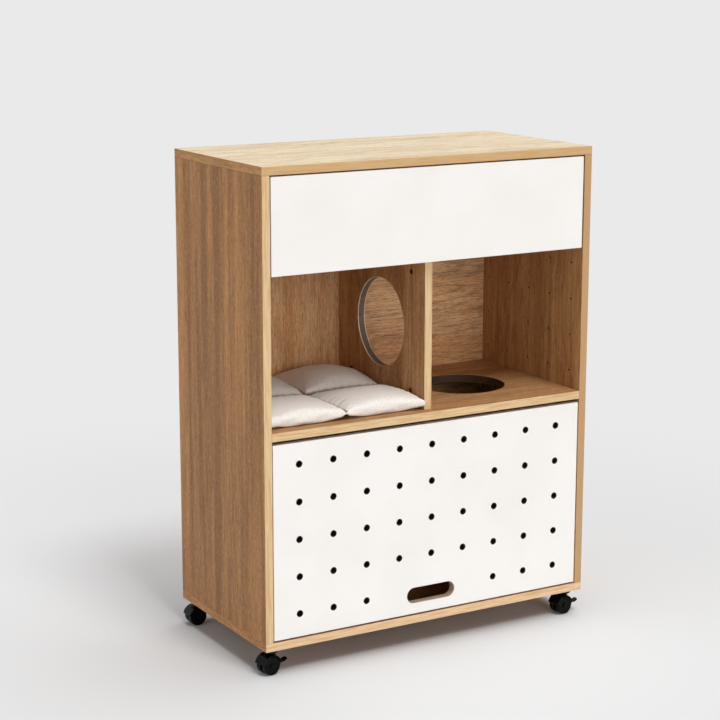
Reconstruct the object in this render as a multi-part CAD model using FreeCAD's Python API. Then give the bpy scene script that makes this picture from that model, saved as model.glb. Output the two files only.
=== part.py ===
import FreeCAD, Part
import math
import os
from FreeCAD import Vector

# Litter box enclosure: a board cabinet on casters, with a drawer above, two open bays,
# and a perforated flip-up door over the litter bay.
# Millimetres. X to the right, Y to the back, Z up. Origin on the floor, under the middle
# of the cabinet. The front of the cabinet faces -Y.

# Cabinet
cabinet_width = 800.0
cabinet_depth = 400.0
board = 18.0
board_arris = 0.8
litter_bay_height = 426.0
bay_height = 320.0
drawer_bay_height = 182.0
inner_setback = 20.0
front_setback = 1.0
hole_grid = 80.0

# How far a cutting shape reaches past the face that it cuts
cut_overlap = 1.0

# Round passages for the cat
passage_diameter = 195.0
passage_rim = 1.5

# Peg holes of the right side panel
peg_diameter = 5.0
peg_depth = 10.0
peg_columns = 5
peg_rows = 4

# Lower door
door_side_gap = 2.0
door_top_gap = 8.0
door_bottom_gap = 3.0
vent_diameter = 15.0
vent_columns = 9
vent_rows = 5
slot_length = 120.0
slot_height = 35.0
slot_above_edge = 41.0
front_edge_radius = 1.2

# Door pivots and catches
pivot_below_edge = 8.0
pivot_pin_diameter = 8.0
pivot_pin_in_door = 26.0
pivot_pin_in_bush = 10.0
bush_wall = 1.6
bush_length = 12.0
bush_flange_diameter = 15.0
bush_flange_thickness = 1.2
bush_bore_end_gap = 0.5
catch_width = 46.0
catch_depth = 15.0
catch_height = 20.0
catch_from_middle = 200.0
strike_width = 40.0
strike_height = 12.0
strike_thickness = 1.2
catch_gap = 0.3
catch_corner = 2.0
catch_face_depth = 0.6
catch_face_margin = 2.0
strike_corner = 3.0
strike_raise = 1.5

# Drawer
drawer_front_top_gap = 3.0
drawer_front_overhang = 1.5
drawer_front_side_gap = 2.5
drawer_wall = 12.0
drawer_side_height = 120.0
drawer_back_gap = 18.0
drawer_lift = 14.0
drawer_bottom_thickness = 5.0
drawer_bottom_raise = 10.0
groove_depth = 6.0
groove_clearance = 0.2
front_screw_from_bottom = 35.0
front_screw_from_top = 20.0
front_screw_bite = 11.0

# Telescopic runners
runner_height = 45.0
runner_width = 12.7
runner_steel = 1.2
runner_gap = 0.35
runner_from_front = 3.0
runner_lip_gap = 2.4
slide_lip_gap = 1.5
runner_screw_from_front = 40.0
runner_screw_from_back = 60.0
slide_screw_length = 11.0

# Joinery
cam_diameter = 12.0
cam_depth = 12.5
cam_from_edge = 32.0
cam_slot_width = 2.2
cam_slot_depth = 2.5
cam_slot_half_length = 3.8
cam_bolt_gap = 0.5
cam_bolt_end_gap = 0.3
cam_bolt_diameter = 6.0
cam_thread_diameter = 5.0
cam_thread_length = 10.0
cam_row_inset = 55.0
top_cam_inset = 50.0
dowel_diameter = 8.0
dowel_length = 30.0
dowel_in_face = 11.0
dowel_from_middle = 60.0
fit_gap = 0.1

# Screws
screw_shank = 4.0
screw_head = 7.6
screw_head_height = 2.2
base_screw_length = 45.0
base_screw_from_middle = 120.0
back_screw_length = 38.0
back_screw_inset = 60.0
rail_screw_length = 14.0
front_screw_length = 26.0

# Casters
caster_height = 56.0
caster_inset = 27.0
wheel_diameter = 40.0
wheel_width = 14.0
wheel_gap = 6.0
wheel_edge = 1.5
wheel_dome = 1.5
wheel_dish_diameter = 30.0
wheel_dish_depth = 1.0
wheel_hub_diameter = 11.0
wheel_lip = 0.6
caster_trail = 9.0
caster_plate_side = 38.0
caster_plate_thickness = 2.0
caster_plate_corner = 4.0
caster_plate_hole_step = 28.0
caster_screw_length = 15.0
caster_screw_shank = 3.6
caster_screw_head = 6.6
caster_plate_hole_gap = 0.3
caster_race_diameter = 30.0
kingpin_diameter = 6.0
kingpin_head = 9.6
kingpin_head_height = 0.9
kingpin_floor = 40.5
kingpin_end_gap = 0.5
socket_diameter = 15.0
socket_bottom = 37.0
socket_flare = 3.0
socket_flare_height = 4.0
hood_top_drop = 8.0
hood_edge = 1.8
hood_collar_diameter = 26.0
hood_collar_height = 2.0
hood_gap = 1.0
hood_wall = 2.4
hood_web = 5.0
hood_start_angle = 12.0
hood_end_angle = 160.0
web_drop = 0.5
web_lead_angle = 25.0
boss_start_angle = 215.0
boss_end_angle = 325.0
axle_diameter = 5.0
axle_boss = 11.0
axle_end_gap = 0.4
axle_wall = 3.0
running_gap = 0.06
swivel_gap = 0.3

# Brake levers of the front casters
lever_pivot_lead = 13.0
lever_pivot_height = 24.0
lever_arm = 2.0
lever_slot_gap = 0.3
lever_trunnion = 3.0
lever_root_radius = 23.4
lever_root_height = 13.9
lever_arm_front = 2.6
lever_arm_above = 2.6
lever_arm_rise = 0.6
lever_arm_below = 2.2
lever_pad_overlap = 0.5
lever_length = 25.0
lever_slope = 21.0
lever_neck_width = 5.0
lever_neck_length = 10.0
lever_flare_length = 5.0
lever_neck_corner = 2.0
lever_tip_corner = 4.0
lever_well_reach = 5.0
lever_well_below = 8.0
lever_well_above = 4.0
trunnion_end_gap = 0.1
lever_thickness = 3.0
lever_width = 12.0
shoe_thickness = 2.2
shoe_gap = 1.3
shoe_width = 22.0
shoe_height = 5.0

# Cushion
cushion_gap = 4.0
cushion_seam_height = 17.0
cushion_crown = 50.0
cushion_corner = 26.0
cushion_side_bow = 5.0
cushion_rest_gap = 0.3
cushion_front_inset = 5.0
cushion_core_height = 9.0
cushion_core_inset = 24.0
cushion_foot_inset = 15.0
cushion_crown_inset = 52.0

# Sections of a puff, as shares of its height and of its inset: up to the seam, and on to the crown
cushion_foot = ((0.0, 1.0), (0.35, 0.27), (1.0, 0.0))
cushion_top = ((0.3, 0.06), (0.62, 0.21), (0.86, 0.5), (1.0, 1.0))

# Each caster: its corner as signs of X and Y, the way that its wheels trail, and its brake
casters = {
    "front_left": (-1, -1, 190.0, True),
    "front_right": (1, -1, 185.0, True),
    "rear_left": (-1, 1, 180.0, False),
    "rear_right": (1, 1, 15.0, False),
}

# Levels and planes worked out from the sizes above
base_z = caster_height
base_top = base_z + board
shelf_bottom = base_top + litter_bay_height
shelf_top = shelf_bottom + board
deck_bottom = shelf_top + bay_height
deck_top = deck_bottom + board
lid_bottom = deck_top + drawer_bay_height
inner_x = cabinet_width / 2 - board
front_y = -cabinet_depth / 2
back_y = cabinet_depth / 2
back_face_y = back_y - board
inner_front_y = front_y + inner_setback
board_middle_y = (inner_front_y + back_face_y) / 2
shelf_middle_y = (front_y + back_face_y) / 2
bay_middle_x = (inner_x + board / 2) / 2
bay_middle_z = (shelf_top + deck_bottom) / 2
panel_face_y = front_y + front_setback + board

door_half_width = inner_x - door_side_gap
door_bottom = base_top + door_bottom_gap
door_top = shelf_bottom - door_top_gap
pivot_y = front_y + front_setback + board / 2
pivot_z = door_top - pivot_below_edge

drawer_half_width = inner_x - runner_width
drawer_side_length = back_face_y - drawer_back_gap - panel_face_y
runner_length = drawer_side_length
drawer_side_bottom = deck_top + drawer_lift
runner_z = drawer_side_bottom + drawer_side_height / 2
runner_front_y = panel_face_y + runner_from_front

cam_bore_diameter = cam_bolt_diameter + 2 * cam_bolt_gap
cam_rows_y = (inner_front_y + cam_row_inset, back_face_y - cam_row_inset)

wheel_radius = wheel_diameter / 2
wheel_inner = wheel_gap / 2
wheel_outer = wheel_inner + wheel_width
caster_plate_bottom = caster_height - caster_plate_thickness
hood_top = caster_height - hood_top_drop
hood_inner = wheel_radius + hood_gap
hood_outer = hood_inner + hood_wall

X_AXIS = Vector(1, 0, 0)
Y_AXIS = Vector(0, 1, 0)
Z_AXIS = Vector(0, 0, 1)


def box(x0, x1, y0, y1, z0, z1):
    """Block between two corners."""
    return Part.makeBox(x1 - x0, y1 - y0, z1 - z0, Vector(x0, y0, z0))


def rod(diameter, start, direction, length):
    """Round rod from a start point along a direction."""
    return Part.makeCylinder(diameter / 2, length, start, direction)


def fused(shapes):
    """One solid from touching or overlapping shapes, with merged faces."""
    return shapes[0].multiFuse(list(shapes[1:])).removeSplitter()


def group(shapes):
    """Separate solids that share one node."""
    return Part.makeCompound(shapes)


def curves_of(shape, kind):
    """Edges of a shape that follow one kind of curve."""
    return [edge for edge in shape.Edges if not edge.Degenerated and isinstance(edge.Curve, kind)]


def edges_along(shape, direction):
    """Straight edges that run along a direction."""
    return [edge for edge in curves_of(shape, Part.Line) if abs(edge.Curve.Direction.dot(direction)) > 0.999]


def circle_edges(shape, radius):
    """Round edges of one radius."""
    return [edge for edge in curves_of(shape, Part.Circle) if abs(edge.Curve.Radius - radius) < 1e-6]


def softened(shape):
    """Shape with all its edges slightly rounded, as a banded board has them."""
    return shape.makeFillet(board_arris, shape.Edges)


def revolved(points, origin, axis):
    """Solid of revolution of a closed outline about an axis."""
    wire = Part.makePolygon(points + points[:1])
    return Part.Face(wire).revolve(origin, axis, 360)


def frame_at(origin, x_direction, z_direction):
    """Placement with its local X and Z along two directions."""
    y_direction = z_direction.cross(x_direction)
    matrix = FreeCAD.Matrix(
        x_direction.x, y_direction.x, z_direction.x, origin.x,
        x_direction.y, y_direction.y, z_direction.y, origin.y,
        x_direction.z, y_direction.z, z_direction.z, origin.z,
        0, 0, 0, 1)
    return FreeCAD.Placement(matrix)


def placed(shape, placement):
    """Copy of a shape moved by a placement."""
    copy = shape.copy()
    copy.Placement = placement.multiply(copy.Placement)
    return copy


# Cam joints, dowels and screws

def cam_lock():
    """Cam disc with its cross slot and the notch that grips the bolt; local X points at the bolt."""
    disc = rod(cam_diameter - 2 * fit_gap, Vector(0, 0, -cam_depth), Z_AXIS, cam_depth)
    half, thin = cam_slot_half_length, cam_slot_width / 2
    slots = [box(-half, half, -thin, thin, -cam_slot_depth, cut_overlap),
             box(-thin, thin, -half, half, -cam_slot_depth, cut_overlap)]
    notch = rod(cam_bore_diameter, Vector(cam_diameter / 4, 0, -board / 2), X_AXIS, cam_diameter)
    return disc.cut(slots + [notch])


def cam_bolt():
    """Bolt from the cam to the thread in the next board."""
    shank_start = Vector(cam_diameter / 4 + cam_bolt_end_gap, 0, -board / 2)
    shank = rod(cam_bolt_diameter, shank_start, X_AXIS, cam_from_edge - shank_start.x)
    thread = rod(cam_thread_diameter, Vector(cam_from_edge, 0, -board / 2), X_AXIS, cam_thread_length)
    return fused([shank, thread])


def cam_pocket():
    """What the cam and its bolt take out of their own board."""
    pocket = rod(cam_diameter, Vector(0, 0, -cam_depth), Z_AXIS, cam_depth + cut_overlap)
    bore = rod(cam_bore_diameter, Vector(0, 0, -board / 2), X_AXIS, cam_from_edge + cut_overlap)
    return fused([pocket, bore])


def cam_thread_hole():
    """What the bolt's thread takes out of the next board."""
    start = Vector(cam_from_edge - cut_overlap, 0, -board / 2)
    return rod(cam_thread_diameter + 2 * fit_gap, start, X_AXIS, cam_thread_length + 2 * cut_overlap)


def cam_joint_frames():
    """Frames of the cam joints by board: point on the face, way to the next board, normal of the face."""
    frames = {"divider": [], "shelf": [], "deck": [], "left": [], "right": []}
    for y in cam_rows_y:
        face = -board / 2
        upper = Vector(face, y, deck_bottom - cam_from_edge)
        lower = Vector(face, y, shelf_top + cam_from_edge)
        frames["divider"].append(frame_at(upper, Z_AXIS, -X_AXIS))
        frames["divider"].append(frame_at(lower, -Z_AXIS, -X_AXIS))
        for side in (-1, 1):
            x = side * (inner_x - cam_from_edge)
            frames["shelf"].append(frame_at(Vector(x, y, shelf_bottom), X_AXIS * side, -Z_AXIS))
            frames["deck"].append(frame_at(Vector(x, y, deck_top), X_AXIS * side, Z_AXIS))
    for name, side in (("left", -1), ("right", 1)):
        for y in (front_y + top_cam_inset, back_y - top_cam_inset - board):
            point = Vector(side * inner_x, y, lid_bottom - cam_from_edge)
            frames[name].append(frame_at(point, Z_AXIS, X_AXIS * -side))
    return frames


def dowel_joints():
    """Middle of each dowel joint, and the way to the board whose end it is in."""
    joints = []
    for side in (-1, 1):
        x = side * (inner_x + board / 2)
        for y in (-dowel_from_middle, dowel_from_middle):
            joints.append((Vector(x, y, base_top), Z_AXIS))
            joints.append((Vector(x, y, lid_bottom), -Z_AXIS))
        for z in ((shelf_bottom + shelf_top) / 2, (deck_bottom + deck_top) / 2):
            joints.append((Vector(side * inner_x, 0, z), X_AXIS * -side))
    return joints


def dowel_solid(centre, direction, slack):
    """Dowel through a joint plane."""
    start = centre - direction * (dowel_in_face + slack)
    return rod(dowel_diameter + 2 * slack, start, direction, dowel_length + 2 * slack)


def dowel_holes():
    """Holes of all dowels, for every board that they pass."""
    return [dowel_solid(centre, direction, fit_gap) for centre, direction in dowel_joints()]


def flat_screw(point, direction, length, shank=screw_shank, head=screw_head):
    """Countersunk screw whose head lies flush at a point and whose shank runs along a direction."""
    cone = Part.makeCone(head / 2, shank / 2, screw_head_height, point, direction)
    return fused([cone, rod(shank, point, direction, length)])


def flat_screw_hole(point, direction, length, shank=screw_shank, head=screw_head):
    """Countersunk hole for a flat screw."""
    slack = 2 * fit_gap
    cone = Part.makeCone((head + slack) / 2, (shank + slack) / 2, screw_head_height, point, direction)
    return fused([cone, rod(shank + slack, point, direction, length + fit_gap)])


def pan_screw(point, direction, length, shank, head):
    """Screw with a domed head under a face; the shank runs along a direction from that face."""
    top = point - direction * screw_head_height
    dome = Part.makeCone(head / 3, head / 2, screw_head_height, top, direction)
    sunk = screw_head_height / 2
    return fused([dome, rod(shank, point - direction * sunk, direction, length + sunk)])


def base_screw_points():
    """Heads under the base that hold the side panels."""
    points = []
    for side in (-1, 1):
        for y in (-base_screw_from_middle, base_screw_from_middle):
            points.append(Vector(side * (inner_x + board / 2), y, base_z))
    return points


def back_screw_points():
    """Heads on the back boards that pull them against the shelf and the deck."""
    points = []
    for side in (-1, 1):
        for x in (inner_x - back_screw_inset, back_screw_inset):
            for z in ((shelf_bottom + shelf_top) / 2, (deck_bottom + deck_top) / 2):
                points.append(Vector(side * x, back_y, z))
    return points


# Carcass

def top_panel():
    """Board over the side panels."""
    half = cabinet_width / 2
    return softened(box(-half, half, front_y, back_y, lid_bottom, lid_bottom + board))


def bottom_panel():
    """Board under the side panels, with the pilot holes of the casters."""
    panel = softened(box(-cabinet_width / 2, cabinet_width / 2, front_y, back_y, base_z, base_top))
    pilots = []
    depth = caster_screw_length - caster_plate_thickness + fit_gap
    for point in caster_screw_points():
        start = Vector(point.x, point.y, base_z - cut_overlap)
        pilots.append(rod(caster_screw_shank + 2 * fit_gap, start, Z_AXIS, depth + cut_overlap))
    return panel.cut(pilots)


def side_panel(side):
    """Upright board between the top and bottom panels, bored for the pivot bush and the rail screws."""
    inner = side * inner_x
    outer = side * cabinet_width / 2
    panel = softened(box(min(inner, outer), max(inner, outer), front_y, back_y, base_top, lid_bottom))
    start = Vector(inner - side * cut_overlap, pivot_y, pivot_z)
    bore = rod(bush_diameter() + 2 * fit_gap, start, X_AXIS * side, bush_length + cut_overlap + 2 * fit_gap)
    return panel.cut([bore] + [rail_screw_hole(side, y, False) for y in rail_screw_rows()])


def peg_holes():
    """Blind holes on the inner face of the right side panel, on the grid that the bay's middle sets."""
    holes = []
    for column in range(peg_columns):
        y = (column - (peg_columns - 1) / 2) * hole_grid
        for row in range(peg_rows):
            z = bay_middle_z + (row - (peg_rows - 1) / 2) * hole_grid
            if front_y + peg_diameter < y < back_face_y - peg_diameter:
                start = Vector(inner_x - cut_overlap, y, z)
                holes.append(rod(peg_diameter, start, X_AXIS, peg_depth + cut_overlap))
    return holes


def with_passage(panel, centre, axis):
    """Board with the round passage and its rounded rim."""
    start = centre - axis * board
    pierced = panel.cut(rod(passage_diameter, start, axis, 2 * board))
    return pierced.makeFillet(passage_rim, circle_edges(pierced, passage_diameter / 2))


def middle_shelf():
    """Shelf over the litter bay, with the cat's way down under the right bay."""
    panel = softened(box(-inner_x, inner_x, front_y, back_face_y, shelf_bottom, shelf_top))
    centre = Vector(bay_middle_x, shelf_middle_y, (shelf_bottom + shelf_top) / 2)
    return with_passage(panel, centre, Z_AXIS)


def divider_panel():
    """Upright board between the two bays, with the cat's way through."""
    panel = softened(box(-board / 2, board / 2, inner_front_y, back_face_y, shelf_top, deck_bottom))
    return with_passage(panel, Vector(0, board_middle_y, bay_middle_z), X_AXIS)


def drawer_deck():
    """Board between the bays and the drawer."""
    return softened(box(-inner_x, inner_x, inner_front_y, back_face_y, deck_bottom, deck_top))


def back_boards():
    """The four boards that close the back."""
    split_low = (shelf_bottom + shelf_top) / 2 - board
    split_high = (deck_bottom + deck_top) / 2 + board
    outlines = {
        "back_panel_lower": (-inner_x, inner_x, base_top, split_low),
        "back_panel_left": (-inner_x, 0, split_low, split_high),
        "back_panel_right": (0, inner_x, split_low, split_high),
        "back_panel_upper": (-inner_x, inner_x, split_high, lid_bottom),
    }
    return {name: softened(box(x0, x1, back_face_y, back_y, z0, z1))
            for name, (x0, x1, z0, z1) in outlines.items()}


def carcass():
    """All boards with their joinery cut, and the joinery itself."""
    frames = cam_joint_frames()
    pocket, thread_hole = cam_pocket(), cam_thread_hole()
    pockets = {name: [placed(pocket, f) for f in group_frames] for name, group_frames in frames.items()}
    threads = [placed(thread_hole, f) for group_frames in frames.values() for f in group_frames]
    base_screws = [(p, Z_AXIS, base_screw_length) for p in base_screw_points()]
    back_screws = [(p, -Y_AXIS, back_screw_length) for p in back_screw_points()]
    base_holes = [flat_screw_hole(*s) for s in base_screws]
    back_holes = [flat_screw_hole(*s) for s in back_screws]
    dowels = dowel_holes()

    parts = {
        "top_panel": top_panel().cut(threads + dowels),
        "bottom_panel": bottom_panel().cut(dowels + base_holes),
        "left_side_panel": side_panel(-1).cut(pockets["left"] + threads + dowels + base_holes),
        "right_side_panel": side_panel(1).cut(pockets["right"] + threads + dowels + base_holes + peg_holes()),
        "middle_shelf": middle_shelf().cut(pockets["shelf"] + threads + dowels + back_holes),
        "divider_panel": divider_panel().cut(pockets["divider"]),
        "drawer_deck": drawer_deck().cut(pockets["deck"] + threads + dowels + back_holes),
    }
    for name, panel in back_boards().items():
        parts[name] = panel.cut(back_holes)
    every_frame = [f for group_frames in frames.values() for f in group_frames]
    parts["cam_locks"] = group([placed(cam_lock(), f) for f in every_frame])
    parts["cam_bolts"] = group([placed(cam_bolt(), f) for f in every_frame])
    parts["dowels"] = group([dowel_solid(centre, direction, 0) for centre, direction in dowel_joints()])
    parts["base_screws"] = group([flat_screw(*s) for s in base_screws])
    parts["back_screws"] = group([flat_screw(*s) for s in back_screws])
    return parts


# Lower door

def bush_diameter():
    """Outer diameter of a pivot bush."""
    return pivot_pin_diameter + 2 * running_gap + 2 * bush_wall


def rounded_front(half_width, bottom, top):
    """Flat front board with softened edges."""
    y0 = front_y + front_setback
    slab = box(-half_width, half_width, y0, y0 + board, bottom, top)
    return slab.makeFillet(front_edge_radius, slab.Edges)


def vent_holes():
    """Ventilation holes on the grid, left out where the hand slot is."""
    middle_z = base_top + litter_bay_height / 2
    slot_z = door_bottom + slot_above_edge
    clear_x, clear_z = (slot_length + hole_grid) / 2, slot_height + vent_diameter
    holes = []
    for column in range(vent_columns):
        x = (column - (vent_columns - 1) / 2) * hole_grid
        for row in range(vent_rows):
            z = middle_z + (row - (vent_rows - 1) / 2) * hole_grid
            if abs(x) > clear_x or abs(z - slot_z) > clear_z:
                holes.append(rod(vent_diameter, Vector(x, front_y, z), Y_AXIS, 2 * board))
    return holes


def hand_slot():
    """Rounded slot to lift the door by."""
    half = slot_length / 2 - slot_height / 2
    z = door_bottom + slot_above_edge
    middle = box(-half, half, front_y, front_y + 2 * board, z - slot_height / 2, z + slot_height / 2)
    ends = [rod(slot_height, Vector(x, front_y, z), Y_AXIS, 2 * board) for x in (-half, half)]
    return fused([middle] + ends)


def pin_reach(side, slack):
    """Pivot pin from inside the door's end into the bush of one side."""
    start = Vector(side * (door_half_width - pivot_pin_in_door), pivot_y, pivot_z)
    length = pivot_pin_in_door + door_side_gap + pivot_pin_in_bush
    return rod(pivot_pin_diameter + 2 * slack, start, X_AXIS * side, length)


def pivot_bush(side):
    """Flanged bush in the side panel, with its blind bore for the pin."""
    face = Vector(side * inner_x, pivot_y, pivot_z)
    body = rod(bush_diameter(), face, X_AXIS * side, bush_length)
    flange = rod(bush_flange_diameter, face, X_AXIS * -side, bush_flange_thickness)
    before = bush_flange_thickness + cut_overlap
    bore = rod(pivot_pin_diameter + 2 * running_gap, face - X_AXIS * side * before, X_AXIS * side,
               before + pivot_pin_in_bush + bush_bore_end_gap)
    return fused([body, flange]).cut(bore)


def magnet_catch(side):
    """Catch on the base, just behind the strike of the door."""
    x = side * catch_from_middle
    y0 = panel_face_y + strike_thickness + catch_gap
    half = catch_width / 2
    body = box(x - half, x + half, y0, y0 + catch_depth, base_top, base_top + catch_height)
    body = body.makeFillet(catch_corner, edges_along(body, Z_AXIS))
    face = box(x - strike_width / 2, x + strike_width / 2, y0 - cut_overlap, y0 + catch_face_depth,
               door_bottom + catch_face_margin, base_top + catch_height - catch_face_margin)
    return body.cut(face)


def catch_strike(side):
    """Steel plate on the back of the door."""
    x = side * catch_from_middle
    z0 = door_bottom + strike_raise
    plate = box(x - strike_width / 2, x + strike_width / 2, panel_face_y, panel_face_y + strike_thickness,
                z0, z0 + strike_height)
    return plate.makeFillet(strike_corner, edges_along(plate, Y_AXIS))


def lower_door():
    """Perforated flip-up door, with its pivots and catches."""
    panel = rounded_front(door_half_width, door_bottom, door_top)
    cuts = vent_holes() + [hand_slot()] + [pin_reach(side, fit_gap) for side in (-1, 1)]
    return {
        "lower_door": panel.cut(cuts),
        "door_pivot_pins": group([pin_reach(side, 0) for side in (-1, 1)]),
        "door_pivot_bushes": group([pivot_bush(side) for side in (-1, 1)]),
        "magnet_catches": group([magnet_catch(side) for side in (-1, 1)]),
        "catch_strikes": group([catch_strike(side) for side in (-1, 1)]),
    }


# Drawer

def drawer_side(side):
    """Drawer side with the groove of the bottom."""
    outer = side * drawer_half_width
    inner = outer - side * drawer_wall
    wall = box(min(outer, inner), max(outer, inner), panel_face_y, panel_face_y + drawer_side_length,
               drawer_side_bottom, drawer_side_bottom + drawer_side_height)
    return wall.cut(drawer_bottom_slab(groove_clearance))


def drawer_back():
    """Board between the drawer sides at the back, over the drawer bottom."""
    half = drawer_half_width - drawer_wall
    y1 = panel_face_y + drawer_side_length
    low = drawer_side_bottom + drawer_bottom_raise + drawer_bottom_thickness + groove_clearance
    return box(-half, half, y1 - drawer_wall, y1, low, drawer_side_bottom + drawer_side_height)


def drawer_bottom_slab(slack):
    """Drawer bottom, which reaches into the grooves; slack makes it the groove itself."""
    half = drawer_half_width - drawer_wall + groove_depth - groove_clearance + slack
    low = drawer_side_bottom + drawer_bottom_raise
    beyond = cut_overlap if slack else 0
    start, end = panel_face_y - beyond, panel_face_y + drawer_side_length + beyond
    return box(-half, half, start, end, low, low + drawer_bottom_thickness + slack)


def front_screw_points():
    """Where the double-ended screws join the drawer sides' front ends to the drawer front."""
    points = []
    for side in (-1, 1):
        for z in (drawer_side_bottom + front_screw_from_bottom,
                  drawer_side_bottom + drawer_side_height - front_screw_from_top):
            points.append(Vector(side * (drawer_half_width - drawer_wall / 2), panel_face_y, z))
    return points


def front_pin(point, slack):
    """Double-ended screw between a drawer side's end and the drawer front."""
    start = point - Y_AXIS * (front_screw_bite + slack)
    return rod(screw_shank + 2 * slack, start, Y_AXIS, front_screw_length + 2 * slack)


def drawer():
    """Drawer front and box."""
    front = rounded_front(inner_x - drawer_front_side_gap, deck_bottom - drawer_front_overhang,
                          lid_bottom - drawer_front_top_gap)
    holes = [front_pin(p, fit_gap) for p in front_screw_points()]
    inner_screws = [rail_screw(side, y, True) for side in (-1, 1) for y in rail_screw_rows()]
    inner_holes = [rail_screw_hole(side, y, True) for side in (-1, 1) for y in rail_screw_rows()]
    return {
        "drawer_front": front.cut(holes),
        "drawer_side_left": drawer_side(-1).cut(holes + inner_holes),
        "drawer_side_right": drawer_side(1).cut(holes + inner_holes),
        "drawer_back": drawer_back(),
        "drawer_bottom": drawer_bottom_slab(0),
        "drawer_front_screws": group([front_pin(p, 0) for p in front_screw_points()] + inner_screws),
    }


# Telescopic runners

def channel(side, web_x, lip_x, half_height):
    """Steel channel along the drawer: a web at one side of the runner and two flanges towards the other."""
    toward = 1 if lip_x > web_x else -1
    y0 = runner_front_y
    y1 = y0 + runner_length
    inner_web = web_x + toward * runner_steel
    low, high = runner_z - half_height, runner_z + half_height
    outer_block = box(min(web_x, lip_x), max(web_x, lip_x), y0, y1, low, high)
    open_x = lip_x + toward * cut_overlap
    hollow = box(min(inner_web, open_x), max(inner_web, open_x), y0 - cut_overlap, y1 + cut_overlap,
                 low + runner_steel, high - runner_steel)
    shape = outer_block.cut(hollow)
    if side < 0:
        shape = shape.mirror(Vector(0, 0, 0), X_AXIS)
    return shape


def runner_halves():
    """Half heights of the rail, the stage and the slide, each nested in the one before."""
    rail = runner_height / 2
    stage = rail - runner_steel - runner_gap
    slide = stage - runner_steel - runner_gap
    return rail, stage, slide


def runners():
    """Rail, stage and slide of both sides."""
    rail_half, stage_half, slide_half = runner_halves()
    between = runner_steel + 2 * runner_gap
    stage_web = inner_x - between
    rows = rail_screw_rows()
    parts = {}
    for name, side in (("left", -1), ("right", 1)):
        rail = channel(side, inner_x, drawer_half_width + runner_lip_gap, rail_half)
        slide = channel(side, drawer_half_width, stage_web - between - slide_lip_gap, slide_half)
        parts["runner_rail_" + name] = rail.cut([rail_screw_hole(side, y, False) for y in rows])
        parts["runner_stage_" + name] = channel(side, stage_web, drawer_half_width + between, stage_half)
        parts["runner_slide_" + name] = slide.cut([rail_screw_hole(side, y, True) for y in rows])
    parts["runner_screws"] = group([rail_screw(side, y, False) for side in (-1, 1) for y in rows])
    return parts


def rail_screw_rows():
    """Places of the runner screws along the depth."""
    return (runner_front_y + runner_screw_from_front, runner_front_y + runner_length - runner_screw_from_back)


def rail_screw_place(side, y, on_drawer):
    """Head, direction and length of a runner screw: in through the slide, or out through the rail."""
    if on_drawer:
        x, direction, length = side * (drawer_half_width + runner_steel), X_AXIS * -side, slide_screw_length
    else:
        x, direction, length = side * (inner_x - runner_steel), X_AXIS * side, rail_screw_length
    return Vector(x, y, runner_z), direction, length


def rail_screw(side, y, on_drawer):
    """Flat screw of a runner."""
    return flat_screw(*rail_screw_place(side, y, on_drawer))


def rail_screw_hole(side, y, on_drawer):
    """Hole of a runner screw, through the steel and into its board."""
    return flat_screw_hole(*rail_screw_place(side, y, on_drawer))


# Casters, built with the kingpin on the origin and the wheels trailing along local X

def caster_centre(sign_x, sign_y):
    """Kingpin axis of one caster, on the floor."""
    x = sign_x * (cabinet_width / 2 - caster_inset)
    y = sign_y * (cabinet_depth / 2 - caster_inset)
    return Vector(x, y, 0)


def caster_screw_points():
    """Screws of all caster plates, at the plates' lower faces."""
    points = []
    step = caster_plate_hole_step / 2
    for sign_x, sign_y, _, _ in casters.values():
        centre = caster_centre(sign_x, sign_y)
        for dx in (-step, step):
            for dy in (-step, step):
                points.append(Vector(centre.x + dx, centre.y + dy, caster_plate_bottom))
    return points


def caster_plate():
    """Fixing plate with its race, four screw holes and the kingpin's hole."""
    half = caster_plate_side / 2
    plate = box(-half, half, -half, half, caster_plate_bottom, caster_height)
    plate = plate.makeFillet(caster_plate_corner, edges_along(plate, Z_AXIS))
    race = rod(caster_race_diameter, Vector(0, 0, hood_top + swivel_gap), Z_AXIS,
               caster_plate_bottom - hood_top - swivel_gap)
    step = caster_plate_hole_step / 2
    low = caster_plate_bottom - cut_overlap
    bore, depth = caster_screw_shank + 2 * caster_plate_hole_gap, caster_plate_thickness + 2 * cut_overlap
    holes = [rod(bore, Vector(x, y, low), Z_AXIS, depth) for x in (-step, step) for y in (-step, step)]
    holes.append(rod(kingpin_diameter + 2 * fit_gap, Vector(0, 0, hood_top), Z_AXIS, caster_height))
    head = caster_height - kingpin_head_height - fit_gap
    holes.append(rod(kingpin_head + 2 * fit_gap, Vector(0, 0, head), Z_AXIS, board))
    return fused([plate, race]).cut(holes)


def kingpin():
    """Swivel pin that hangs from the plate into the hood's socket."""
    foot = kingpin_floor + kingpin_end_gap
    shaft = rod(kingpin_diameter, Vector(0, 0, foot), Z_AXIS, caster_height - foot)
    head = rod(kingpin_head, Vector(0, 0, caster_height - kingpin_head_height), Z_AXIS, kingpin_head_height)
    return fused([shaft, head])


def on_circle(radius, degrees):
    """Point about the axle in the plane of the wheels."""
    angle = math.radians(degrees)
    return Vector(caster_trail + radius * math.cos(angle), 0, wheel_radius + radius * math.sin(angle))


def ring_sector(inner, outer, start, end, width):
    """Part of a ring about the axle, as wide as given."""
    middle = (start + end) / 2
    outer_arc = Part.Arc(on_circle(outer, start), on_circle(outer, middle), on_circle(outer, end)).toShape()
    inner_arc = Part.Arc(on_circle(inner, end), on_circle(inner, middle), on_circle(inner, start)).toShape()
    wire = Part.Wire([outer_arc, Part.makeLine(on_circle(outer, end), on_circle(inner, end)), inner_arc,
                      Part.makeLine(on_circle(inner, start), on_circle(outer, start))])
    solid = Part.Face(wire).extrude(Vector(0, width, 0))
    return solid.translated(Vector(0, -width / 2, 0))


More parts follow.
